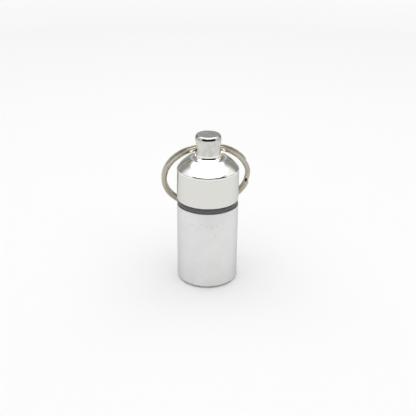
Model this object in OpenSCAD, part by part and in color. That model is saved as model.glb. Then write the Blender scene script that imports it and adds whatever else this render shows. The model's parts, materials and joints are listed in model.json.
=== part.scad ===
// Pill fob: a turned aluminium canister with a screw cap, a rubber sealing ring and a split key ring.
// Origin at the centre of the canister's base, +Z up. The cross hole runs along X.
// The key ring leans back to +Y, against the canister. Every length is in millimetres.

/* [Canister] */
// Outside diameter of the canister and the cap
capsule_d = 17; // [15:0.25:18.5]
// Height of the canister from its base to the shoulder under the sealing ring
canister_h = 22.3; // [16:0.1:40]
// Diameter of the bore that holds the pills
bore_d = 11.6; // [9:0.1:12]
// Thickness of the canister's floor
floor_t = 1.6; // [1:0.1:4]
// Rounding of the outer edge of the base
base_round = 1; // [0.4:0.1:1.5]
// Rounding of the outer edge of the shoulder
shoulder_round = 0.4; // [0.1:0.05:0.6]
// Rounding at the foot of the bore
bore_round = 1.2; // [0.5:0.1:3]

/* [Neck and sealing ring] */
// Diameter of the neck at the root of its screw thread
neck_d = 13.4; // [12.8:0.1:13.8]
// Height of the neck above the shoulder
neck_h = 7; // [5:0.1:7.5]
// Bevel round the top of the neck, outside and inside
neck_bevel = 0.35; // [0.1:0.05:0.5]
// Depth of the groove at the foot of the neck, where the sealing ring sits
groove_depth = 0.4; // [0.2:0.05:0.6]
// Height of the sealing ring, which is the gap that shows under the cap
seal_h = 1.9; // [1.2:0.1:2.6]
// Distance of the sealing ring's outer face inside the canister's wall
seal_inset = 0.2; // [0.05:0.05:0.5]
// Rounding of the sealing ring's four edges
seal_round = 0.75; // [0.3:0.05:0.9]
// Play of the sealing ring round the groove, on the radius
seal_play = 0.05; // [0.02:0.01:0.1]

/* [Cap] */
// Height of the cap's straight wall
skirt_h = 8.8; // [8.3:0.1:14]
// Rise of the dome from the cap's upper edge to the flat round the knob
dome_rise = 3.65; // [2.5:0.05:5]
// Diameter of the flat round the knob
flat_d = 8.3; // [7.6:0.1:10]
// Room for the screw thread between the neck and the cap, on the radius
thread_room = 0.45; // [0.3:0.05:0.6]
// Depth of the hollow in the cap
hollow_h = 7.8; // [7.6:0.1:9.5]
// Rounding at the top of the cap's hollow
hollow_round = 1.5; // [0.5:0.1:3]
// Bevel that takes the sharpness off the cap's and knob's edges
edge_break = 0.15; // [0.05:0.05:0.25]

/* [Knob] */
// Diameter of the knob
knob_d = 7.1; // [6.6:0.1:7.6]
// Height of the knob
knob_h = 5.4; // [4.9:0.1:7]
// Diameter of the foot that the knob stands on
foot_d = 5.7; // [4:0.1:6.4]
// Height of the foot, which is the groove that shows under the knob
foot_h = 0.45; // [0.2:0.05:1]
// Width of the bevel round the top of the knob
bevel_w = 0.65; // [0.3:0.05:1]
// Height of the bevel round the top of the knob
bevel_h = 0.42; // [0.2:0.02:0.8]
// Height of the cross hole's axis above the knob's underside
hole_height = 2.15; // [2:0.05:2.8]

/* [Split ring] */
// Outside diameter of the split ring
ring_d = 25; // [23:0.5:32]
// Width of the ring's flat wire, across the ring's face
wire_w = 1.45; // [1.2:0.05:1.6]
// Thickness of one turn of the wire
wire_t = 0.75; // [0.6:0.05:0.8]
// Bevel along the wire's four edges
wire_bevel = 0.2; // [0.1:0.05:0.25]
// Gap between the two turns
turn_gap = 0.1; // [0.05:0.05:0.2]
// Where the wire crosses from one turn to the other, in degrees round from the hole
crossover_at = 81; // [40:1:320]
// Stretch over which the wire crosses, in degrees
crossover_span = 30; // [20:1:40]
// Space between each end of the wire and the crossover, in degrees
end_space = 4; // [3:1:10]
// Corner clipped off each side of a wire end
end_clip = 0.4; // [0.2:0.05:0.55]
// Play of the two turns in the cross hole, on the radius
ring_play = 0.23; // [0.15:0.01:0.3]
// Gap that is left under the wire where it hangs in the cross hole
hang_gap = 0.1; // [0.05:0.01:0.14]
// Gap between the canister's wall and the foot of the leaning ring
lean_gap = 0.3; // [0.1:0.05:1]

/* [Hidden] */
$fn = 96;
// Overlap that makes a cut run clear of the face it opens
cut = 1;

capsule_r = capsule_d / 2;
neck_r = neck_d / 2;
groove_r = neck_r - groove_depth;
bore_r = bore_d / 2;

cap_z = canister_h + seal_h;
edge_z = cap_z + skirt_h;
flat_z = edge_z + dome_rise;
knob_z = flat_z + foot_h;
hole_z = knob_z + hole_height;
knob_r = knob_d / 2;

// The dome is part of a sphere through the cap's upper edge and the rim of the flat
dome_sink = (pow(capsule_r, 2) - pow(flat_d / 2, 2) - pow(dome_rise, 2)) / (2 * dome_rise);
dome_r = norm([capsule_r, dome_sink]);

// Middle of the wire, and how far the curved wire strays across the knob's width
ring_r = (ring_d - wire_w) / 2;
turn_level = (wire_t + turn_gap) / 2;
stack_t = 2 * wire_t + turn_gap;
wire_stray = ring_r - sqrt(pow(ring_r, 2) - pow(knob_r, 2));
hole_r = norm([wire_w / 2 + wire_stray, stack_t / 2]) + ring_play;
hang_z = hole_z - ring_play + hang_gap;

// The ring leans so that its foot stays lean_gap from the wall: angle below the horizontal
foot_reach = 2 * ring_r - wire_w / 2;
lean = acos((capsule_r + lean_gap) / norm([foot_reach, stack_t / 2])) - atan2(stack_t / 2, foot_reach);

// What is cut from the corner of an outline to round it; side points from the corner into the outline
module round_off(corner, radius, side) {
    translate(corner)
    difference() {
        square(2 * radius, center = true);
        translate(radius * side)
        circle(radius);
    }
}

// Half of the canister's outside, from the axis out
module canister_outline() {
    difference() {
        square([capsule_r, canister_h]);
        round_off([capsule_r, 0], base_round, [-1, 1]);
        round_off([capsule_r, canister_h], shoulder_round, [-1, -1]);
    }
    square([groove_r, canister_h + seal_h]);
    neck_top = canister_h + neck_h;
    polygon([
        [0, cap_z], [neck_r, cap_z], [neck_r, neck_top - neck_bevel],
        [neck_r - neck_bevel, neck_top], [0, neck_top]
    ]);
}

// Half of the bore, with its rounded foot and bevelled mouth
module bore_outline() {
    neck_top = canister_h + neck_h;
    difference() {
        translate([0, floor_t])
        square([bore_r, neck_top - floor_t + cut]);
        round_off([bore_r, floor_t], bore_round, [-1, 1]);
    }
    polygon([
        [0, neck_top - neck_bevel], [bore_r, neck_top - neck_bevel],
        [bore_r + neck_bevel + cut, neck_top + cut], [0, neck_top + cut]
    ]);
}

module canister() {
    color("gainsboro")
    rotate_extrude()
    difference() {
        canister_outline();
        bore_outline();
    }
}

// A rubber ring of rounded section that fills the gap between the shoulder and the cap
module sealing_ring() {
    inner_r = groove_r + seal_play;
    outer_r = capsule_r - seal_inset;
    corner = min(seal_round, 0.4 * min(seal_h, outer_r - inner_r));
    color("dimgray")
    translate([0, 0, canister_h])
    rotate_extrude()
    difference() {
        translate([inner_r, 0])
        square([outer_r - inner_r, seal_h]);
        round_off([inner_r, 0], corner, [1, 1]);
        round_off([outer_r, 0], corner, [-1, 1]);
        round_off([inner_r, seal_h], corner, [1, -1]);
        round_off([outer_r, seal_h], corner, [-1, -1]);
    }
}

// Half of the cap's wall and dome, from its lower edge to the flat round the knob
module dome_outline() {
    polygon([
        [0, cap_z], [capsule_r - edge_break, cap_z], [capsule_r, cap_z + edge_break],
        [capsule_r, edge_z], [0, edge_z]
    ]);
    intersection() {
        translate([0, edge_z])
        square([capsule_r, dome_rise]);
        translate([0, edge_z - dome_sink])
        circle(dome_r);
    }
}

// Half of the knob and its foot
module knob_outline() {
    knob_top = knob_z + knob_h;
    translate([0, edge_z])
    square([foot_d / 2, knob_z - edge_z + edge_break]);
    polygon([
        [0, knob_z], [knob_r - edge_break, knob_z], [knob_r, knob_z + edge_break],
        [knob_r, knob_top - bevel_h], [knob_r - bevel_w, knob_top], [0, knob_top]
    ]);
}

// Half of the hollow that takes the neck
module hollow_outline() {
    hollow_r = neck_r + thread_room;
    difference() {
        translate([0, cap_z - cut])
        square([hollow_r, hollow_h + cut]);
        round_off([hollow_r, cap_z + hollow_h], hollow_round, [-1, -1]);
    }
    polygon([
        [0, cap_z - cut], [hollow_r + edge_break + cut, cap_z - cut],
        [hollow_r, cap_z + edge_break], [0, cap_z + edge_break]
    ]);
}

// The hole across the knob, with a bevel at each mouth
module cross_hole() {
    translate([0, 0, hole_z])
    rotate([0, 90, 0]) {
        cylinder(r = hole_r, h = knob_d + 2 * cut, center = true);
        for (end = [0, 1])
        mirror([0, 0, end])
        translate([0, 0, knob_r - edge_break])
        cylinder(r1 = hole_r, r2 = hole_r + edge_break + cut, h = edge_break + cut);
    }
}

module screw_cap() {
    color("silver")
    difference() {
        rotate_extrude()
        difference() {
            union() {
                dome_outline();
                knob_outline();
            }
            hollow_outline();
        }
        cross_hole();
    }
}

// Section of the wire about its middle
module wire_section() {
    side = wire_w / 2;
    face = wire_t / 2;
    polygon([
        [side, wire_bevel - face], [side, face - wire_bevel],
        [side - wire_bevel, face], [wire_bevel - side, face],
        [-side, face - wire_bevel], [-side, wire_bevel - face],
        [wire_bevel - side, -face], [side - wire_bevel, -face]
    ]);
}

// A stretch of wire round the ring's centre. Angles run from +Y towards +X.
module wire_arc(from, span) {
    rotate([0, 0, 90 - from - span])
    rotate_extrude(angle = span)
    translate([ring_r, 0])
    wire_section();
}

// What clips the corners of a wire end at an angle, so that it takes a key without catching
module end_clips(at) {
    rotate([0, 0, 90 - at])
    for (side = [-1, 1])
    translate([ring_r + side * wire_w / 2, 0, 0])
    rotate([0, 0, 45])
    cube([sqrt(2) * end_clip, sqrt(2) * end_clip, 2 * wire_t], center = true);
}

// The straight crossover, tipped about the radius through its middle so that it joins both turns
module crossover() {
    tip = asin(turn_level / (ring_r * sin(crossover_span / 2)));
    rotate([0, 0, 90 - crossover_at])
    rotate([tip, 0, 0])
    rotate([0, 0, crossover_at - 90])
    wire_arc(crossover_at - crossover_span / 2, crossover_span);
}

// The ring lying flat, its centre at the origin and the place of the hole towards +Y
module ring_turns() {
    start = crossover_at + crossover_span / 2;
    end = crossover_at - crossover_span / 2;
    turn_span = 360 - crossover_span - end_space;
    translate([0, 0, turn_level])
    difference() {
        wire_arc(start + end_space, turn_span);
        end_clips(start + end_space);
    }
    translate([0, 0, -turn_level])
    difference() {
        wire_arc(start, turn_span);
        end_clips(end - end_space);
    }
    crossover();
}

module split_ring() {
    color("tan")
    translate([0, 0, hang_z])
    rotate([180 - lean, 0, 0])
    translate([0, -ring_r, 0])
    ring_turns();
}

canister();
sealing_ring();
screw_cap();
split_ring();
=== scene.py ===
"""A pill fob: an aluminium canister, its screw cap, its sealing ring and its split key ring."""

import json
import math

import bpy
from mathutils import Matrix, Vector


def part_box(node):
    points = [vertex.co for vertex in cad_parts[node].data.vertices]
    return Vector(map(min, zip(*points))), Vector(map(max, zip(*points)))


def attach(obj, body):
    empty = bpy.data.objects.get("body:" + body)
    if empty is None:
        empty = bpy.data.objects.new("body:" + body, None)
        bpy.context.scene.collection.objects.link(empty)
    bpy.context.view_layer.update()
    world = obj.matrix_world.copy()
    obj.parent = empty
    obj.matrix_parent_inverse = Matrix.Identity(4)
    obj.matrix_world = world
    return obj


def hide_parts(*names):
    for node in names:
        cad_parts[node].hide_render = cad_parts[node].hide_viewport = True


bl_info = {
    "name": "Pill Fob",
    "version": (1, 0, 0),
    "blender": (4, 5, 0),
    "location": "View3D > Sidebar > Pill Fob",
    "description": "Turns a pill canister, its screw cap and seal, and winds its split ring",
    "category": "Add Mesh",
}

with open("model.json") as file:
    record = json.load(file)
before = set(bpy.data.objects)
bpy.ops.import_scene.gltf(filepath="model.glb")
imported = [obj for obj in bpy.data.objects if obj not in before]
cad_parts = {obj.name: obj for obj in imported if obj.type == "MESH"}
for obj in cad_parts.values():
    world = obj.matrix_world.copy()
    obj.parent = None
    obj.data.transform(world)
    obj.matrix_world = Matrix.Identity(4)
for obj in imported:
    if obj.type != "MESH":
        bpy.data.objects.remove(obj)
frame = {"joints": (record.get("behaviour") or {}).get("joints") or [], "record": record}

MM = 0.001
# Distance within which doubled vertices are merged
WELD = 1e-7
# Distance from a plane within which a vertex counts as lying on it
ON_PLANE = 2e-6
# Angle between two faces past which the edge between them stays sharp
SHARP = math.radians(20)

# Steps round a turned piece, round the cross hole, and round one turn of a thread
LATHE_STEPS = 256
HOLE_STEPS = 96
THREAD_STEPS = 96
# Steps along the curves of an outline, from the slightest to the dome
EDGE_STEPS = 6
CURVE_STEPS = 8
BASE_STEPS = 12
GROOVE_STEPS = 16
DOME_STEPS = 24
# Steps along a thread's end, where its ridge sinks into the wall
RUN_OUT = 10
# Steps round the wire's section, along one turn, along the crossover and along a wire end
SECTION_STEPS = 48
TURN_STEPS = 300
CROSS_STEPS = 16
NOSE_STEPS = 6
# Steps along a bent card
CARD_STEPS = 32

# How far the foot of a thread's ridge reaches into its wall, as a share of its depth
THREAD_BITE = 0.3
# How far the mouths of the cross hole widen, as a share of the radius of their curve
MOUTH_WIDENING = 0.25
# How much of a metal's reflection is left at a glancing angle
EDGE_TINT = (0.72, 0.72, 0.72)
# The most that a metal reflects
BRIGHTEST = 0.95
# Stretches of a noise's range that show all of it, its patches, or only its peaks
MIDDLE = (0.3, 0.7)
PATCHES = (0.35, 0.7)
PEAKS = (0.81, 0.84)

# Directions of the camera's side and of the far side, from +X towards +Y
FRONT = math.radians(-90)
REAR = math.radians(90)
# Width of the floor, and the distances between which it fades into the white surround, in metres
FLOOR_WIDTH = 6
FLOOR_FADE = (0.25, 0.7)
# Width of the photograph's frame, in pixels
PHOTO = 416
# Width of the camera's sensor in millimetres, and the nearest distance that it sees in metres
SENSOR = 36
NEAREST = 0.01

CANISTER_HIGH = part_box("canister")[1]
SEAL_LOW, SEAL_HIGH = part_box("sealing_ring")
CAP_LOW, CAP_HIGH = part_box("screw_cap")
RING_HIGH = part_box("split_ring")[1]
RING_HINGE = next(j for j in frame["joints"] if j["name"] == "ring_swing")
KEY_LOOP = next(m for m in frame["record"]["mounts"] if m["name"] == "key_loop")


def number(name, value, about, **limits):
    """A setting that is a plain number."""
    return bpy.props.FloatProperty(name=name, description=about, default=value, **limits)


def length(name, value, about):
    """A setting in metres."""
    return number(name, value, about, unit="LENGTH", precision=5, step=0.01)


def angle(name, degrees, about):
    """A setting that is an angle, given in degrees."""
    return number(name, math.radians(degrees), about, subtype="ANGLE")


def colour(name, value, about):
    """A setting that is a colour."""
    return bpy.props.FloatVectorProperty(
        name=name, description=about, default=value, subtype="COLOR", min=0, max=1, size=3
    )


class CanisterSizes(bpy.types.PropertyGroup):
    """Sizes of the canister and its neck"""

    radius: length("Radius", CANISTER_HIGH.x, "Outside radius of the canister")
    shoulder: length("Shoulder height", SEAL_LOW.z, "Height of the shoulder under the sealing ring")
    neck_radius: length("Neck radius", 6.7 * MM, "Radius of the neck at the root of its thread")
    groove_radius: length("Groove radius", 6.3 * MM, "Radius of the groove for the sealing ring")
    neck_top: length("Neck top", CANISTER_HIGH.z, "Height of the neck's top edge above the base")
    neck_bevel: length("Neck bevel", 0.35 * MM, "Bevel round the mouth of the neck")
    bore_radius: length("Bore radius", 5.8 * MM, "Radius of the bore that holds the pills")
    floor: length("Floor", 1.6 * MM, "Thickness of the canister's floor")
    base_round: length("Base rounding", 1.0 * MM, "Rounding of the outer edge of the base")
    lip_height: length("Lip height", 0.35 * MM, "Height of the thin lip round the sealing ring")
    lip_radius: length("Lip radius", 8.34 * MM, "Radius inside the lip")
    lip_round: length("Lip rounding", 0.14 * MM, "Rounding of the lip's outer edge")
    bore_round: length("Bore rounding", 1.2 * MM, "Rounding at the foot of the bore")


class ThreadSizes(bpy.types.PropertyGroup):
    """Sizes of the screw thread between the neck and the cap"""

    pitch: length("Pitch", 1.0 * MM, "Rise of the right-handed thread in one turn")
    depth: length("Depth", 0.36 * MM, "Height of the ridge above its root")
    width: length("Width", 0.5 * MM, "Width of the ridge at its root")
    crest: length("Crest", 0.14 * MM, "Width of the ridge at its crest")
    play: length("Play", 0.06 * MM, "By how much the cap's ridge is lower than the neck's")


class SealSizes(bpy.types.PropertyGroup):
    """Sizes of the sealing ring"""

    width: length("Width", 1.95 * MM, "Width of the sealing ring from its inside to its outside")
    rounding: length("Rounding", 0.75 * MM, "Rounding of the sealing ring's four edges")
    mould_line: length("Mould line", 0.03 * MM, "Height of the parting line round the ring")


class CapSizes(bpy.types.PropertyGroup):
    """Sizes of the screw cap, its knob and the cross hole"""

    radius: length("Radius", CAP_HIGH.x, "Outside radius of the cap")
    wall_height: length("Wall height", 8.8 * MM, "Height of the cap's straight wall")
    edge_round: length("Upper edge rounding", 0.7 * MM, "Rounding between the wall and the dome")
    edge_break: length("Edge break", 0.15 * MM, "Bevel round the cap's lower edge")
    dome_rise: length("Dome rise", 3.65 * MM, "Rise of the dome from the wall to its crown")
    crown_radius: length("Crown radius", 4.15 * MM, "Radius of the dome's circle at its crown")
    foot_round: length("Foot rounding", 1.1 * MM, "Radius of the groove round the knob's foot")
    foot_height: length("Foot height", 36.98 * MM, "Height of the groove's middle above the base")
    hollow_radius: length("Hollow radius", 7.15 * MM, "Radius of the hollow that takes the neck")
    hollow_height: length("Hollow height", 7.8 * MM, "Depth of the hollow")
    hollow_round: length("Hollow rounding", 1.5 * MM, "Rounding at the top of the hollow")
    knob_radius: length("Knob radius", 3.55 * MM, "Radius of the knob")
    knob_round: length("Knob rounding", 1.6 * MM, "Radius of the curve from the wall to the face")
    knob_sweep: angle("Knob sweep", 44, "Part of a circle that this curve takes up")
    hole_radius: length("Hole radius", 1.7334 * MM, "Radius of the cross hole")
    hole_height: length("Hole height", 39.25 * MM, "Height of the cross hole above the base")
    mouth_depth: length("Mouth depth", 0.6 * MM, "Depth of the cross hole's rounded mouths")
    mouth_round: length("Mouth rounding", 1.2 * MM, "Radius of the curve in the mouths")


class RingSizes(bpy.types.PropertyGroup):
    """Sizes of the split ring and its wire"""

    outer_radius: length("Outer radius", RING_HIGH.x, "Outside radius of the split ring")
    wire_width: length("Wire width", 1.45 * MM, "Width of the wire across the ring's face")
    wire_thickness: length("Wire thickness", 0.75 * MM, "Thickness of one turn of the wire")
    fullness: number("Fullness", 2.5, "The wire's section: 2 is an ellipse, more is squarer", min=2)
    turn_gap: length("Turn gap", 0.1 * MM, "Gap between the two turns")
    crossover_at: angle("Crossover", 81, "Where the wire crosses from one turn to the other")
    crossover_span: angle("Crossover span", 30, "Stretch over which the wire crosses")
    end_space: angle("End space", 4, "Space between each end of the wire and the crossover")
    end_round: length("End rounding", 0.4 * MM, "Rounding of the wire's two ends")


class FobFinish(bpy.types.PropertyGroup):
    """Colours of the pieces and the floor"""

    satin: colour("Satin aluminium", (0.77, 0.77, 0.765), "Colour of the canister")
    bright: colour("Bright aluminium", (0.735, 0.73, 0.695), "Colour of the polished cap")
    rubber: colour("Rubber", (0.09, 0.09, 0.09), "Colour of the sealing ring")
    nickel: colour("Nickel", (0.51, 0.475, 0.385), "Colour of the plated split ring")
    paper: colour("Paper", (0.91, 0.91, 0.91), "Colour of the floor")


class FobStage(bpy.types.PropertyGroup):
    """The camera that took the photograph, the lamp and the cards that the metal mirrors"""

    distance: length("Distance", 0.2, "Distance of the camera from its target")
    target_height: length("Target height", 22 * MM, "Height of the camera's target above the base")
    azimuth: angle("Azimuth", -6.232, "Direction of the camera, to the right of the front")
    elevation: angle("Elevation", 24.2304, "How far the camera looks down")
    roll: angle("Roll", 0.5147, "Turn of the camera about its own line of sight")
    lens: number("Lens", 62.19, "Focal length of the camera, in mm")
    shift_right: number("Shift right", 0.358, "Shift of the picture, in the photo's pixels")
    shift_up: number("Shift up", -3.744, "Shift of the picture, in the photo's pixels")
    card_radius: length("Card distance", 0.35, "Distance of the bent cards from the object")
    card_fade: angle("Card fade", 20, "Stretch over which a card's sides fade into the surround")
    front_height: length("Front card height", 0.34, "Height of the dark card behind the camera")
    front_full: number("Front card full", 0.92, "Share of that height where its top starts to fade")
    front_sweep: angle("Front card sweep", 150, "Width of the dark card, as an angle")
    front_grey: number("Front card grey", 0.01, "Brightness of the dark card, 1 is white")
    rear_height: length("Rear card height", 0.42, "Height of the grey card behind the object")
    rear_full: number("Rear card full", 0.75, "Share of that height where its top starts to fade")
    rear_sweep: angle("Rear card sweep", 156, "Width of the grey card, as an angle")
    rear_middle: number("Rear card middle", 0.62, "Brightness of its middle, 1 is white")
    rear_side: number("Rear card side", 0.3, "Brightness of its sides, 1 is white")
    horizon_radius: length("Horizon distance", 0.4, "Distance of the low card all round the object")
    horizon_height: length("Horizon height", 0.13, "Height of the low card")
    horizon_full: number("Horizon full", 0.5, "Share of that height where its top starts to fade")
    horizon_grey: number("Horizon grey", 0.3, "Brightness of the low card, 1 is white")
    surround: number("Surround", 0.32, "Strength of the white surround as a light")
    lamp_level: number("Lamp", 1.2, "Brightness of the softbox, 1 is white")
    lamp_height: length("Lamp height", 0.6, "Height of the softbox")
    lamp_width: length("Lamp width", 1.4, "Width of the square softbox")


def start_clean():
    """Leaves edit mode and deselects everything."""
    if bpy.context.object and bpy.context.object.mode != "OBJECT":
        bpy.ops.object.mode_set(mode="OBJECT")
    bpy.ops.object.select_all(action="DESELECT")


def pick(obj):
    """Selects one object alone and makes it active."""
    start_clean()
    obj.select_set(True)
    bpy.context.view_layer.objects.active = obj


def arc(centre, radius, start, end, steps):
    """Points of an arc, as (radius, height) pairs. Degrees run from outwards to upwards."""
    turns = [math.radians(start + (end - start) * i / steps) for i in range(steps + 1)]
    return [(centre[0] + radius * math.cos(t), centre[1] + radius * math.sin(t)) for t in turns]


def draw_outline(name, outline, closed=False):
    """Adds a chain of edges in the XZ plane, from point to point, and leaves it selected."""
    start_clean()
    first_x, first_z = outline[0]
    bpy.ops.mesh.primitive_plane_add(size=MM, location=(first_x, 0, first_z))
    piece = bpy.context.object
    piece.name = piece.data.name = name
    bpy.ops.object.transform_apply(location=True, rotation=False, scale=False)
    bpy.ops.object.mode_set(mode="EDIT")
    bpy.ops.mesh.select_all(action="SELECT")
    bpy.ops.mesh.merge(type="CENTER")
    corners = outline + [outline[0]] if closed else outline
    for (x0, z0), (x1, z1) in zip(corners, corners[1:]):
        bpy.ops.mesh.extrude_vertices_move(TRANSFORM_OT_translate={"value": (x1 - x0, 0, z1 - z0)})
    bpy.ops.mesh.select_all(action="SELECT")
    bpy.ops.mesh.remove_doubles(threshold=WELD)
    return piece


def close_up():
    """Merges doubles, turns the faces outwards and leaves edit mode."""
    bpy.ops.mesh.select_all(action="SELECT")
    bpy.ops.mesh.remove_doubles(threshold=WELD)
    bpy.ops.mesh.normals_make_consistent(inside=False)
    bpy.ops.object.mode_set(mode="OBJECT")


def wind(turn, steps):
    """Sweeps the selected outline round Z, clockwise as seen from above."""
    bpy.ops.mesh.spin(steps=steps, angle=turn, center=(0, 0, 0), axis=(0, 0, 1))


def turn_on_lathe(name, outline, steps=LATHE_STEPS, closed=False):
    """Adds a piece of revolution round Z from half of its outline."""
    piece = draw_outline(name, outline, closed)
    wind(2 * math.pi, steps)
    close_up()
    return piece


def apply_place(piece, matrix):
    """Moves a piece's mesh by a matrix and leaves the object at the origin."""
    pick(piece)
    piece.matrix_world = matrix
    bpy.ops.object.transform_apply(location=True, rotation=True, scale=True)


def select_verts(piece, wanted):
    """In edit mode, selects the vertices that the test wants."""
    bpy.ops.mesh.select_all(action="DESELECT")
    bpy.ops.object.mode_set(mode="OBJECT")
    for vert in piece.data.vertices:
        vert.select = wanted(vert)
    bpy.ops.object.mode_set(mode="EDIT")
    bpy.ops.mesh.select_mode(type="VERT")


def combine(piece, tool, operation):
    """Adds a tool's solid to a piece or cuts it away, and deletes the tool."""
    pick(piece)
    modifier = piece.modifiers.new(operation.title(), "BOOLEAN")
    modifier.operation = operation
    modifier.object = tool
    modifier.solver = "EXACT"
    bpy.ops.object.modifier_apply(modifier=modifier.name)
    pick(tool)
    bpy.ops.object.delete()
    pick(piece)
    bpy.ops.object.mode_set(mode="EDIT")
    bpy.ops.mesh.select_all(action="SELECT")
    bpy.ops.mesh.remove_doubles(threshold=WELD)
    bpy.ops.object.mode_set(mode="OBJECT")


def finish_piece(piece, material, body, node):
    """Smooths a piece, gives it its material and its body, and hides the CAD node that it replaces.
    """
    if not piece.data.polygons:
        raise RuntimeError(f"{piece.name} has no faces")
    pick(piece)
    bpy.ops.object.shade_smooth_by_angle(angle=SHARP)
    piece.data.materials.clear()
    piece.data.materials.append(material)
    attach(piece, body)
    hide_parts(node)


def cut_thread(name, thread, root, crest, low, high):
    """Adds the right-handed ridge of a screw thread, whose ends run out into its wall."""
    turns = int((high - low) / thread.pitch)
    foot = root + (root - crest) * THREAD_BITE
    section = [
        (foot, low),
        (crest, low + (thread.width - thread.crest) / 2),
        (crest, low + (thread.width + thread.crest) / 2),
        (foot, low + thread.width),
    ]
    ridge = draw_outline(name, section, closed=True)
    pick(ridge)
    screw = ridge.modifiers.new("Thread", "SCREW")
    screw.angle = 2 * math.pi
    screw.screw_offset = thread.pitch
    screw.iterations = turns
    screw.steps = screw.render_steps = THREAD_STEPS
    bpy.ops.object.modifier_apply(modifier=screw.name)
    count = len(ridge.data.vertices) // len(section)
    bpy.ops.object.mode_set(mode="EDIT")
    for step in range(RUN_OUT):
        shrink = foot / crest + (1 - foot / crest) * step / RUN_OUT
        for place in (step, count - 1 - step):
            select_verts(ridge, lambda v, place=place: v.index // len(section) == place)
            bpy.ops.transform.resize(value=(shrink, shrink, 1), center_override=(0, 0, low))
            if step == 0:
                bpy.ops.mesh.edge_face_add()
    close_up()
    return ridge


def canister_outline(s):
    """Half of the canister's section, from the middle of its base round to the bore's floor."""
    lip = s.shoulder + s.lip_height
    bore = (s.bore_radius - s.bore_round, s.floor + s.bore_round)
    return (
        [(0, 0)]
        + arc((s.radius - s.base_round, s.base_round), s.base_round, -90, 0, BASE_STEPS)
        + arc((s.radius - s.lip_round, lip - s.lip_round), s.lip_round, 0, 90, EDGE_STEPS)
        + [(s.lip_radius, lip), (s.lip_radius, s.shoulder)]
        + [(s.groove_radius, s.shoulder), (s.groove_radius, SEAL_HIGH.z)]
        + [(s.neck_radius, SEAL_HIGH.z), (s.neck_radius, s.neck_top - s.neck_bevel)]
        + [(s.neck_radius - s.neck_bevel, s.neck_top), (s.bore_radius + s.neck_bevel, s.neck_top)]
        + [(s.bore_radius, s.neck_top - s.neck_bevel)]
        + arc(bore, s.bore_round, 0, -90, CURVE_STEPS)
        + [(0, s.floor)]
    )


def seal_outline(s):
    """Section of the sealing ring, with the mould's parting line on its outside."""
    inner, outer = SEAL_HIGH.x - s.width, SEAL_HIGH.x
    low, high, r = SEAL_LOW.z, SEAL_HIGH.z, s.rounding
    middle = (low + high) / 2
    return (
        arc((outer - r, low + r), r, -90, 0, CURVE_STEPS)
        + [(outer, middle - s.mould_line)]
        + [(outer + s.mould_line, middle)]
        + [(outer, middle + s.mould_line)]
        + arc((outer - r, high - r), r, 0, 90, CURVE_STEPS)
        + arc((inner + r, high - r), r, 90, 180, EDGE_STEPS)
        + arc((inner + r, low + r), r, 180, 270, EDGE_STEPS)
    )


def dome_circle(s):
    """Centre height and radius of the circle that the dome's outline follows."""
    low, rise = CAP_LOW.z + s.wall_height, s.dome_rise
    climb = (s.crown_radius**2 - s.radius**2 + rise**2) / (2 * rise)
    return low + climb, math.hypot(s.radius, climb)


def outer_crossing(first, first_r, second, second_r):
    """The crossing of two circles that lies further out, as a (radius, height) pair."""
    dx, dz = second[0] - first[0], second[1] - first[1]
    apart = math.hypot(dx, dz)
    along = (first_r**2 - second_r**2 + apart**2) / (2 * apart)
    aside = math.sqrt(first_r**2 - along**2)
    crossings = []
    for k in (1, -1):
        out, up = along * dx + k * aside * dz, along * dz - k * aside * dx
        crossings.append((first[0] + out / apart, first[1] + up / apart))
    return max(crossings)


def slope(start, end):
    """Direction from one (radius, height) point to another, in degrees from outwards."""
    return math.degrees(math.atan2(end[1] - start[1], end[0] - start[0]))


def cap_outline(s):
    """Half of the cap's section, from the top of its hollow round to the knob's face."""
    low, top = CAP_LOW.z, CAP_HIGH.z
    dome_z, dome_r = dome_circle(s)
    dome, edge_r = (0, dome_z), s.radius - s.edge_round
    edge = (edge_r, dome_z + math.sqrt((dome_r - s.edge_round) ** 2 - edge_r**2))
    foot = (s.knob_radius + s.foot_round, s.foot_height)
    rim = outer_crossing(dome, dome_r, foot, s.foot_round)
    knob = (s.knob_radius - s.knob_round, top - s.knob_round * math.sin(s.knob_sweep))
    hollow_top = low + s.hollow_height
    hollow = (s.hollow_radius - s.hollow_round, hollow_top - s.hollow_round)
    return (
        [(0, hollow_top)]
        + arc(hollow, s.hollow_round, 90, 0, CURVE_STEPS)
        + [(s.hollow_radius, low), (s.radius - s.edge_break, low), (s.radius, low + s.edge_break)]
        + arc(edge, s.edge_round, 0, slope(dome, edge), EDGE_STEPS)
        + arc(dome, dome_r, slope(dome, edge), slope(dome, rim), DOME_STEPS)[1:]
        + arc(foot, s.foot_round, slope(foot, rim), -180, GROOVE_STEPS)[1:]
        + arc(knob, s.knob_round, 0, math.degrees(s.knob_sweep), CURVE_STEPS)
        + [(0, top)]
    )


def hole_cutter(s):
    """A tool along X with widening ends, for the cross hole."""
    start = s.knob_radius - s.mouth_depth
    sweep = math.degrees(math.acos(1 - MOUTH_WIDENING))
    centre = (s.hole_radius + s.mouth_round, start)
    mouth = arc(centre, s.mouth_round, 180, 180 - sweep, CURVE_STEPS)
    lower = [(r, -z) for r, z in reversed(mouth)]
    outline = [(0, lower[0][1])] + lower + mouth + [(0, mouth[-1][1])]
    cutter = turn_on_lathe("cutter", outline, HOLE_STEPS)
    along_x = Matrix.Rotation(math.pi / 2, 4, "Y")
    apply_place(cutter, Matrix.Translation((0, 0, s.hole_height)) @ along_x)
    return cutter


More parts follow.
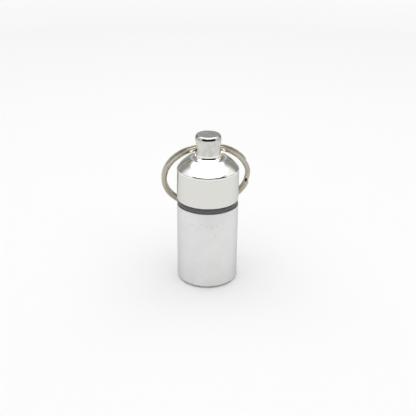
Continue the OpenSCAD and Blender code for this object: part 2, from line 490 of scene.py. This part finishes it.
def wire_section(s):
    """Section of the wire on the first turn's level: an oval with flattened sides."""
    middle = s.outer_radius - s.wire_width / 2
    level = (s.wire_thickness + s.turn_gap) / 2
    outline = []
    for step in range(SECTION_STEPS):
        turn = 2 * math.pi * step / SECTION_STEPS
        circle = (math.cos(turn), math.sin(turn))
        across, up = (math.copysign(abs(v) ** (2 / s.fullness), v) for v in circle)
        outline.append((middle + across * s.wire_width / 2, level + up * s.wire_thickness / 2))
    return outline


def trim_end(piece, s, at, level, ahead):
    """Closes the wire's end at an angle with a rounded nose, turned to the X axis meanwhile."""
    apply_place(piece, Matrix.Rotation(at - math.pi / 2, 4, "Z"))
    bpy.ops.object.mode_set(mode="EDIT")
    select_verts(piece, lambda v: abs(v.co.y) < ON_PLANE and v.co.x > 0 and v.co.z * level > 0)
    bpy.ops.mesh.edge_face_add()
    reach, wide, high = 0, 1, 1
    for step in range(1, NOSE_STEPS + 1):
        turn = math.pi / 2 * step / NOSE_STEPS
        ahead_by = s.end_round * math.sin(turn)
        shrink = s.end_round * (1 - math.cos(turn))
        width, height = 1 - 2 * shrink / s.wire_width, 1 - shrink / s.wire_thickness
        move = (0, ahead * (ahead_by - reach), 0)
        bpy.ops.mesh.extrude_region_move(TRANSFORM_OT_translate={"value": move})
        middle = (s.outer_radius - s.wire_width / 2, ahead * ahead_by, level)
        bpy.ops.transform.resize(value=(width / wide, 1, height / high), center_override=middle)
        reach, wide, high = ahead_by, width, height
    bpy.ops.object.mode_set(mode="OBJECT")
    apply_place(piece, Matrix.Rotation(math.pi / 2 - at, 4, "Z"))


def wind_split_ring(s):
    """Winds the wire twice round in the ring's own plane, crossing smoothly between the turns."""
    piece = draw_outline("split_ring_wire", wire_section(s), closed=True)
    drop = s.wire_thickness + s.turn_gap
    level = drop / 2
    nose = s.end_round / (s.outer_radius - s.wire_width / 2)
    turn = 2 * math.pi - s.crossover_span - s.end_space - nose
    wind(turn, TURN_STEPS)
    sunk = 0
    for step in range(1, CROSS_STEPS + 1):
        t = step / CROSS_STEPS
        deep = drop * t * t * (3 - 2 * t)
        wind(s.crossover_span / CROSS_STEPS, 1)
        bpy.ops.transform.translate(value=(0, 0, sunk - deep))
        sunk = deep
    wind(turn, TURN_STEPS)
    bpy.ops.object.mode_set(mode="OBJECT")
    aside = s.crossover_span / 2 + s.end_space + nose
    apply_place(piece, Matrix.Rotation(math.pi / 2 - s.crossover_at - aside, 4, "Z"))
    trim_end(piece, s, s.crossover_at + aside, level, 1)
    trim_end(piece, s, s.crossover_at - aside, -level, -1)
    pick(piece)
    bpy.ops.object.mode_set(mode="EDIT")
    close_up()
    return piece


def ring_place():
    """Where the ring's own plane stands, from the loop's centre and axis and its hinge."""
    centre, hinge = Vector(KEY_LOOP["pos_m"]), Vector(RING_HINGE["pos_m"])
    up, along = (hinge - centre).normalized(), Vector(KEY_LOOP["axis"]).normalized()
    turned = Matrix((up.cross(along), up, along)).transposed().to_4x4()
    return Matrix.Translation(centre) @ turned


def start_material(name, tint, roughness, metallic=1):
    """Adds a material and gives it back with its shader and its Object coordinates."""
    material = bpy.data.materials.new(name)
    material.use_nodes = True
    nodes = material.node_tree.nodes
    shader = nodes["Principled BSDF"]
    shader.inputs["Metallic"].default_value = metallic
    shader.inputs["Roughness"].default_value = roughness
    shader.inputs["Base Color"].default_value = (*tint, 1)
    shader.inputs["Specular Tint"].default_value = (*EDGE_TINT, 1)
    place = nodes.new("ShaderNodeTexCoord").outputs["Object"]
    return material, shader, place


def link(material, output, socket):
    """Links one node's output to another's input."""
    material.node_tree.links.new(output, socket)


def noise(material, place, scale, stretch=(1, 1, 1), detail=3):
    """A noise of so many features per metre, stretched along the axes."""
    nodes = material.node_tree.nodes
    mapping = nodes.new("ShaderNodeMapping")
    mapping.inputs["Scale"].default_value = [scale * k for k in stretch]
    link(material, place, mapping.inputs["Vector"])
    texture = nodes.new("ShaderNodeTexNoise")
    texture.inputs["Scale"].default_value = 1
    texture.inputs["Detail"].default_value = detail
    link(material, mapping.outputs["Vector"], texture.inputs["Vector"])
    return texture.outputs["Fac"]


def spread(material, value, span, target=(0, 1)):
    """Turns one span of a value's range into another, and clamps it there."""
    node = material.node_tree.nodes.new("ShaderNodeMapRange")
    keys = ("From Min", "From Max", "To Min", "To Max")
    for key, limit in zip(keys, (*span, *target)):
        node.inputs[key].default_value = limit
    link(material, value, node.inputs["Value"])
    return node.outputs["Result"]


def reckon(material, operation, *values):
    """The result of a Math node on numbers and on the outputs of other nodes."""
    node = material.node_tree.nodes.new("ShaderNodeMath")
    node.operation = operation
    for socket, value in zip(node.inputs, values):
        if isinstance(value, bpy.types.NodeSocket):
            link(material, value, socket)
        else:
            socket.default_value = value
    return node.outputs["Value"]


def split_place(material, place):
    """The X, Y and Z of a place, as three outputs."""
    split = material.node_tree.nodes.new("ShaderNodeSeparateXYZ")
    link(material, place, split.inputs["Vector"])
    return split.outputs


def blend_colour(material, amount, first, second):
    """Mixes two colours, each given as a colour or as the output of another node."""
    node = material.node_tree.nodes.new("ShaderNodeMix")
    node.data_type = "RGBA"
    sockets = {socket.identifier: socket for socket in node.inputs}
    for key, value in (("A_Color", first), ("B_Color", second)):
        if isinstance(value, bpy.types.NodeSocket):
            link(material, value, sockets[key])
        else:
            sockets[key].default_value = (*value, 1)
    link(material, amount, sockets["Factor_Float"])
    return {socket.identifier: socket for socket in node.outputs}["Result_Color"]


def bump(material, height, distance, below=None):
    """Raises the surface by so much where the height is 1, over another bump."""
    node = material.node_tree.nodes.new("ShaderNodeBump")
    node.inputs["Distance"].default_value = distance
    link(material, height, node.inputs["Height"])
    if below is not None:
        link(material, below, node.inputs["Normal"])
    return node.outputs["Normal"]


def shade(tint, factor):
    """A colour made darker or brighter by a factor."""
    return tuple(min(c * factor, BRIGHTEST) for c in tint)


def satin_aluminium(tint):
    """Clear anodised aluminium with fine turning rings, a faint mottle and a few nicks."""
    material, shader, place = start_material("satin_aluminium", tint, 0.3)
    rings = noise(material, place, scale=60, stretch=(1, 1, 160), detail=4)
    mottle = noise(material, place, scale=220, detail=5)
    nicks = spread(material, noise(material, place, scale=1500, detail=0), PEAKS)
    cloud = spread(material, mottle, MIDDLE)
    clouded = blend_colour(material, cloud, tint, shade(tint, 0.96))
    coloured = blend_colour(material, nicks, clouded, shade(tint, 0.74))
    link(material, coloured, shader.inputs["Base Color"])
    dull = spread(material, mottle, MIDDLE, (0.27, 0.34))
    link(material, dull, shader.inputs["Roughness"])
    turned = bump(material, rings, 0.004 * MM)
    pits = spread(material, nicks, (0, 1), (0, -1))
    link(material, bump(material, pits, 0.03 * MM, below=turned), shader.inputs["Normal"])
    return material


def polished_aluminium(tint, sizes):
    """Polished aluminium: hairlines, a painted highlight that brightens the dome's colour, and a
    knob dulled by its ring.
    """
    material, shader, place = start_material("polished_aluminium", tint, 0.1)
    height = split_place(material, place)["Z"]
    edge, foot = CAP_LOW.z + sizes.wall_height, sizes.foot_height
    # Painted highlight: from the rounding of the upper edge upwards the colour is brighter, which
    # whitens the dome's reflection
    dome_painted_highlight = spread(material, height, (edge - sizes.edge_round, edge))
    on_knob = spread(material, height, (foot, foot + 0.5 * MM))
    hairlines = noise(material, place, scale=80, stretch=(1, 1, 200))
    rubs = noise(material, place, scale=300, detail=5)
    wear = noise(material, place, scale=900, stretch=(1, 1, 0.5), detail=5)
    marks = spread(material, rubs, PATCHES, (0.06, 0.13))
    dulled = reckon(material, "MULTIPLY_ADD", on_knob, 0.06, marks)
    link(material, dulled, shader.inputs["Roughness"])
    # The dome's brighter colour is a painted highlight
    bright = blend_colour(material, dome_painted_highlight, tint, shade(tint, 1.24))
    worn_away = spread(material, wear, (0.35, 0.65))
    worn = blend_colour(material, worn_away, shade(tint, 0.95), shade(tint, 0.76))
    link(material, blend_colour(material, on_knob, bright, worn), shader.inputs["Base Color"])
    link(material, bump(material, hairlines, 0.001 * MM), shader.inputs["Normal"])
    return material


def black_rubber(tint):
    """Dull black rubber with a fine grain and a little bloom."""
    material, shader, place = start_material("black_rubber", tint, 0.42, metallic=0)
    grain = noise(material, place, scale=9000, detail=4)
    bloom = noise(material, place, scale=500, stretch=(1, 1, 2), detail=4)
    paler = blend_colour(material, spread(material, bloom, (0.35, 0.75)), tint, shade(tint, 1.6))
    link(material, paler, shader.inputs["Base Color"])
    dull = spread(material, bloom, MIDDLE, (0.36, 0.5))
    link(material, dull, shader.inputs["Roughness"])
    link(material, bump(material, grain, 0.006 * MM), shader.inputs["Normal"])
    return material


def bright_nickel(tint):
    """Nickel plate with faint scratches and duller patches from rubbing on keys."""
    material, shader, place = start_material("bright_nickel", tint, 0.1)
    rubs = noise(material, place, scale=450, detail=5)
    scratches = noise(material, place, scale=700, stretch=(1, 9, 9))
    dull = spread(material, rubs, PATCHES, (0.02, 0.06))
    link(material, dull, shader.inputs["Roughness"])
    darker = blend_colour(material, spread(material, rubs, (0.4, 0.75)), tint, shade(tint, 0.85))
    link(material, darker, shader.inputs["Base Color"])
    link(material, bump(material, scratches, 0.0004 * MM), shader.inputs["Normal"])
    return material


def paper(tint):
    """Pale matt paper for the floor, which glows white like the surround further out."""
    material, shader, place = start_material("floor_paper", tint, 0.9, metallic=0)
    shader.inputs["Specular IOR Level"].default_value = 0.2
    grain = noise(material, place, scale=1500, detail=4)
    link(material, bump(material, grain, 0.01 * MM), shader.inputs["Normal"])
    apart = material.node_tree.nodes.new("ShaderNodeVectorMath")
    apart.operation = "LENGTH"
    link(material, place, apart.inputs[0])
    far = spread(material, apart.outputs["Value"], FLOOR_FADE)
    link(material, blend_colour(material, far, tint, (0, 0, 0)), shader.inputs["Base Color"])
    shader.inputs["Emission Color"].default_value = (1, 1, 1, 1)
    link(material, far, shader.inputs["Emission Strength"])
    return material


def card_material(name, greys, radius, reach, rise):
    """A studio card that glows in plain greys, from its middle to its sides.

    It fades into the white surround over a reach of azimuths and a rise of heights."""
    material = bpy.data.materials.new(name)
    material.use_nodes = True
    nodes = material.node_tree.nodes
    nodes.clear()
    place = nodes.new("ShaderNodeTexCoord").outputs["Object"]
    split = split_place(material, place)
    aside = reckon(material, "ABSOLUTE", split["X"])
    sides = spread(material, aside, [radius * math.sin(a) for a in reach])
    top = spread(material, split["Z"], rise)
    grey = spread(material, aside, (0, radius * math.sin(reach[0]) / 2), greys)
    level = nodes.new("ShaderNodeMapRange")
    link(material, reckon(material, "MAXIMUM", sides, top), level.inputs["Value"])
    link(material, grey, level.inputs["To Min"])
    glow = nodes.new("ShaderNodeEmission")
    link(material, level.outputs["Result"], glow.inputs["Strength"])
    surface = nodes.new("ShaderNodeOutputMaterial").inputs["Surface"]
    link(material, glow.outputs["Emission"], surface)
    return material


def stand_card(name, radius, height, facing, sweep, material):
    """Stands up a card bent round the object, which only reflections see."""
    card = draw_outline(name, [(radius, 0), (radius, height)])
    wind(sweep, CARD_STEPS)
    bpy.ops.object.mode_set(mode="OBJECT")
    apply_place(card, Matrix.Rotation(facing + sweep / 2, 4, "Z"))
    card.data.materials.append(material)
    card.visible_camera = card.visible_diffuse = card.visible_shadow = False


def stand_cards(s):
    """Stands the dark card on the camera's side, the grey one behind and the low one all round."""
    radius, height = s.card_radius, s.front_height
    reach = (s.front_sweep / 2 - s.card_fade, s.front_sweep / 2)
    rise = (height * s.front_full, height)
    dark = card_material("dark_card", (s.front_grey, s.front_grey), radius, reach, rise)
    stand_card("front_card", radius, height, FRONT, s.front_sweep, dark)
    height = s.rear_height
    reach = (s.rear_sweep / 2 - s.card_fade, s.rear_sweep / 2)
    rise = (height * s.rear_full, height)
    grey = card_material("grey_card", (s.rear_middle, s.rear_side), radius, reach, rise)
    stand_card("rear_card", radius, height, REAR, s.rear_sweep, grey)
    radius, height = s.horizon_radius, s.horizon_height
    reach = (math.pi / 2, math.pi / 2)
    rise = (height * s.horizon_full, height)
    haze = card_material("horizon_card", (s.horizon_grey, s.horizon_grey), radius, reach, rise)
    stand_card("horizon", radius, height, 0, 2 * math.pi, haze)


def lay_floor(material):
    """Lays the floor under the object."""
    start_clean()
    bpy.ops.mesh.primitive_plane_add(size=FLOOR_WIDTH, location=(0, 0, 0))
    floor = bpy.context.object
    floor.name = floor.data.name = "floor"
    floor.data.materials.append(material)


def light_world(strength):
    """A white surround: full white to the camera and in reflections, weaker as a light."""
    world = bpy.data.worlds.new("studio")
    bpy.context.scene.world = world
    world.use_nodes = True
    nodes, links = world.node_tree.nodes, world.node_tree.links
    path = nodes.new("ShaderNodeLightPath")
    seen = path.outputs["Is Camera Ray"]
    for ray in ("Is Glossy Ray", "Is Transmission Ray"):
        either = nodes.new("ShaderNodeMath")
        either.operation = "MAXIMUM"
        links.new(seen, either.inputs[0])
        links.new(path.outputs[ray], either.inputs[1])
        seen = either.outputs["Value"]
    level = nodes.new("ShaderNodeMapRange")
    level.inputs["To Min"].default_value = strength
    level.inputs["To Max"].default_value = 1
    links.new(seen, level.inputs["Value"])
    background = nodes["Background"]
    background.inputs["Color"].default_value = (1, 1, 1, 1)
    links.new(level.outputs["Result"], background.inputs["Strength"])


def hang_lamp(s):
    """Hangs a square softbox over the object, which shines straight down."""
    start_clean()
    bpy.ops.object.light_add(type="AREA", location=(0, 0, s.lamp_height))
    lamp = bpy.context.object
    lamp.name = lamp.data.name = "softbox"
    lamp.data.shape = "SQUARE"
    lamp.data.size = s.lamp_width
    lamp.data.energy = s.lamp_level * math.pi * s.lamp_width**2


def set_camera(s):
    """Stands the camera where the photograph was taken from."""
    start_clean()
    level = math.cos(s.elevation)
    aside, back = math.sin(s.azimuth) * level, -math.cos(s.azimuth) * level
    toward = Vector((aside, back, math.sin(s.elevation)))
    place = Vector((0, 0, s.target_height)) + toward * s.distance
    bpy.ops.object.camera_add(location=place)
    camera = bpy.context.object
    turned = toward.to_track_quat("Z", "Y").to_matrix().to_4x4() @ Matrix.Rotation(s.roll, 4, "Z")
    camera.matrix_world = Matrix.Translation(place) @ turned
    camera.data.lens = s.lens
    camera.data.sensor_width = SENSOR
    camera.data.clip_start = NEAREST
    camera.data.shift_x = s.shift_right / PHOTO
    camera.data.shift_y = s.shift_up / PHOTO
    bpy.context.scene.camera = camera


class FOB_OT_canister(bpy.types.Operator):
    """Turns the canister with its bore, and cuts the thread on its neck"""

    bl_idname = "mesh.fob_canister"
    bl_label = "Canister"

    def execute(self, context):
        s, thread = context.scene.fob_canister, context.scene.fob_thread
        piece = turn_on_lathe("canister_body", canister_outline(s))
        low, high = SEAL_HIGH.z + thread.pitch / 2, s.neck_top - s.neck_bevel - thread.width
        crest = s.neck_radius + thread.depth
        ridge = cut_thread("neck_thread", thread, s.neck_radius, crest, low, high)
        combine(piece, ridge, "UNION")
        material = satin_aluminium(context.scene.fob_finish.satin)
        finish_piece(piece, material, "canister", "canister")
        return {"FINISHED"}


class FOB_OT_seal(bpy.types.Operator):
    """Moulds the rubber sealing ring"""

    bl_idname = "mesh.fob_seal"
    bl_label = "Sealing ring"

    def execute(self, context):
        piece = turn_on_lathe("rubber_seal", seal_outline(context.scene.fob_seal), closed=True)
        material = black_rubber(context.scene.fob_finish.rubber)
        finish_piece(piece, material, "sealing_ring", "sealing_ring")
        return {"FINISHED"}


class FOB_OT_cap(bpy.types.Operator):
    """Turns the domed cap with its knob, and drills the cross hole"""

    bl_idname = "mesh.fob_cap"
    bl_label = "Screw cap"

    def execute(self, context):
        s, thread = context.scene.fob_cap, context.scene.fob_thread
        piece = turn_on_lathe("domed_cap", cap_outline(s))
        combine(piece, hole_cutter(s), "DIFFERENCE")
        low = CAP_LOW.z + thread.pitch
        high = CAP_LOW.z + s.hollow_height - s.hollow_round - thread.width
        crest = s.hollow_radius - thread.depth + thread.play
        ridge = cut_thread("cap_thread", thread, s.hollow_radius, crest, low, high)
        combine(piece, ridge, "UNION")
        material = polished_aluminium(context.scene.fob_finish.bright, s)
        finish_piece(piece, material, "screw_cap", "screw_cap")
        return {"FINISHED"}


class FOB_OT_split_ring(bpy.types.Operator):
    """Winds the split ring and hangs it in the cross hole"""

    bl_idname = "mesh.fob_split_ring"
    bl_label = "Split ring"

    def execute(self, context):
        piece = wind_split_ring(context.scene.fob_ring)
        apply_place(piece, ring_place())
        material = bright_nickel(context.scene.fob_finish.nickel)
        finish_piece(piece, material, "split_ring", "split_ring")
        return {"FINISHED"}


class FOB_OT_stage(bpy.types.Operator):
    """Lays the floor, hangs the lights and sets the camera"""

    bl_idname = "scene.fob_stage"
    bl_label = "Stage"

    def execute(self, context):
        s = context.scene.fob_stage
        context.scene.view_settings.view_transform = "Standard"
        lay_floor(paper(context.scene.fob_finish.paper))
        stand_cards(s)
        light_world(s.surround)
        hang_lamp(s)
        set_camera(s)
        return {"FINISHED"}


class FOB_PT_panel(bpy.types.Panel):
    """Lists the fob's pieces and their sizes"""

    bl_idname = "FOB_PT_panel"
    bl_label = "Pill Fob"
    bl_space_type = "VIEW_3D"
    bl_region_type = "UI"
    bl_category = "Pill Fob"

    def draw(self, context):
        for operator in OPERATORS:
            self.layout.operator(operator.bl_idname)
        for name in GROUPS:
            box = self.layout.box()
            group = getattr(context.scene, name)
            for key in group.__annotations__:
                box.prop(group, key)


OPERATORS = (FOB_OT_canister, FOB_OT_seal, FOB_OT_cap, FOB_OT_split_ring, FOB_OT_stage)
GROUPS = {
    "fob_canister": CanisterSizes,
    "fob_thread": ThreadSizes,
    "fob_seal": SealSizes,
    "fob_cap": CapSizes,
    "fob_ring": RingSizes,
    "fob_finish": FobFinish,
    "fob_stage": FobStage,
}


def register():
    """Registers the sizes, the operators and the panel."""
    for group in GROUPS.values():
        bpy.utils.register_class(group)
    for name, group in GROUPS.items():
        setattr(bpy.types.Scene, name, bpy.props.PointerProperty(type=group))
    for operator in OPERATORS:
        bpy.utils.register_class(operator)
    bpy.utils.register_class(FOB_PT_panel)


def unregister():
    """Takes away what register added, in the other order."""
    bpy.utils.unregister_class(FOB_PT_panel)
    for operator in reversed(OPERATORS):
        bpy.utils.unregister_class(operator)
    for name, group in GROUPS.items():
        delattr(bpy.types.Scene, name)
        bpy.utils.unregister_class(group)


def main():
    """Builds the fob and its stage."""
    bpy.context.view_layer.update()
    register()
    bpy.ops.mesh.fob_canister()
    bpy.ops.mesh.fob_seal()
    bpy.ops.mesh.fob_cap()
    bpy.ops.mesh.fob_split_ring()
    bpy.ops.scene.fob_stage()
    start_clean()


if __name__ == "__main__":
    main()
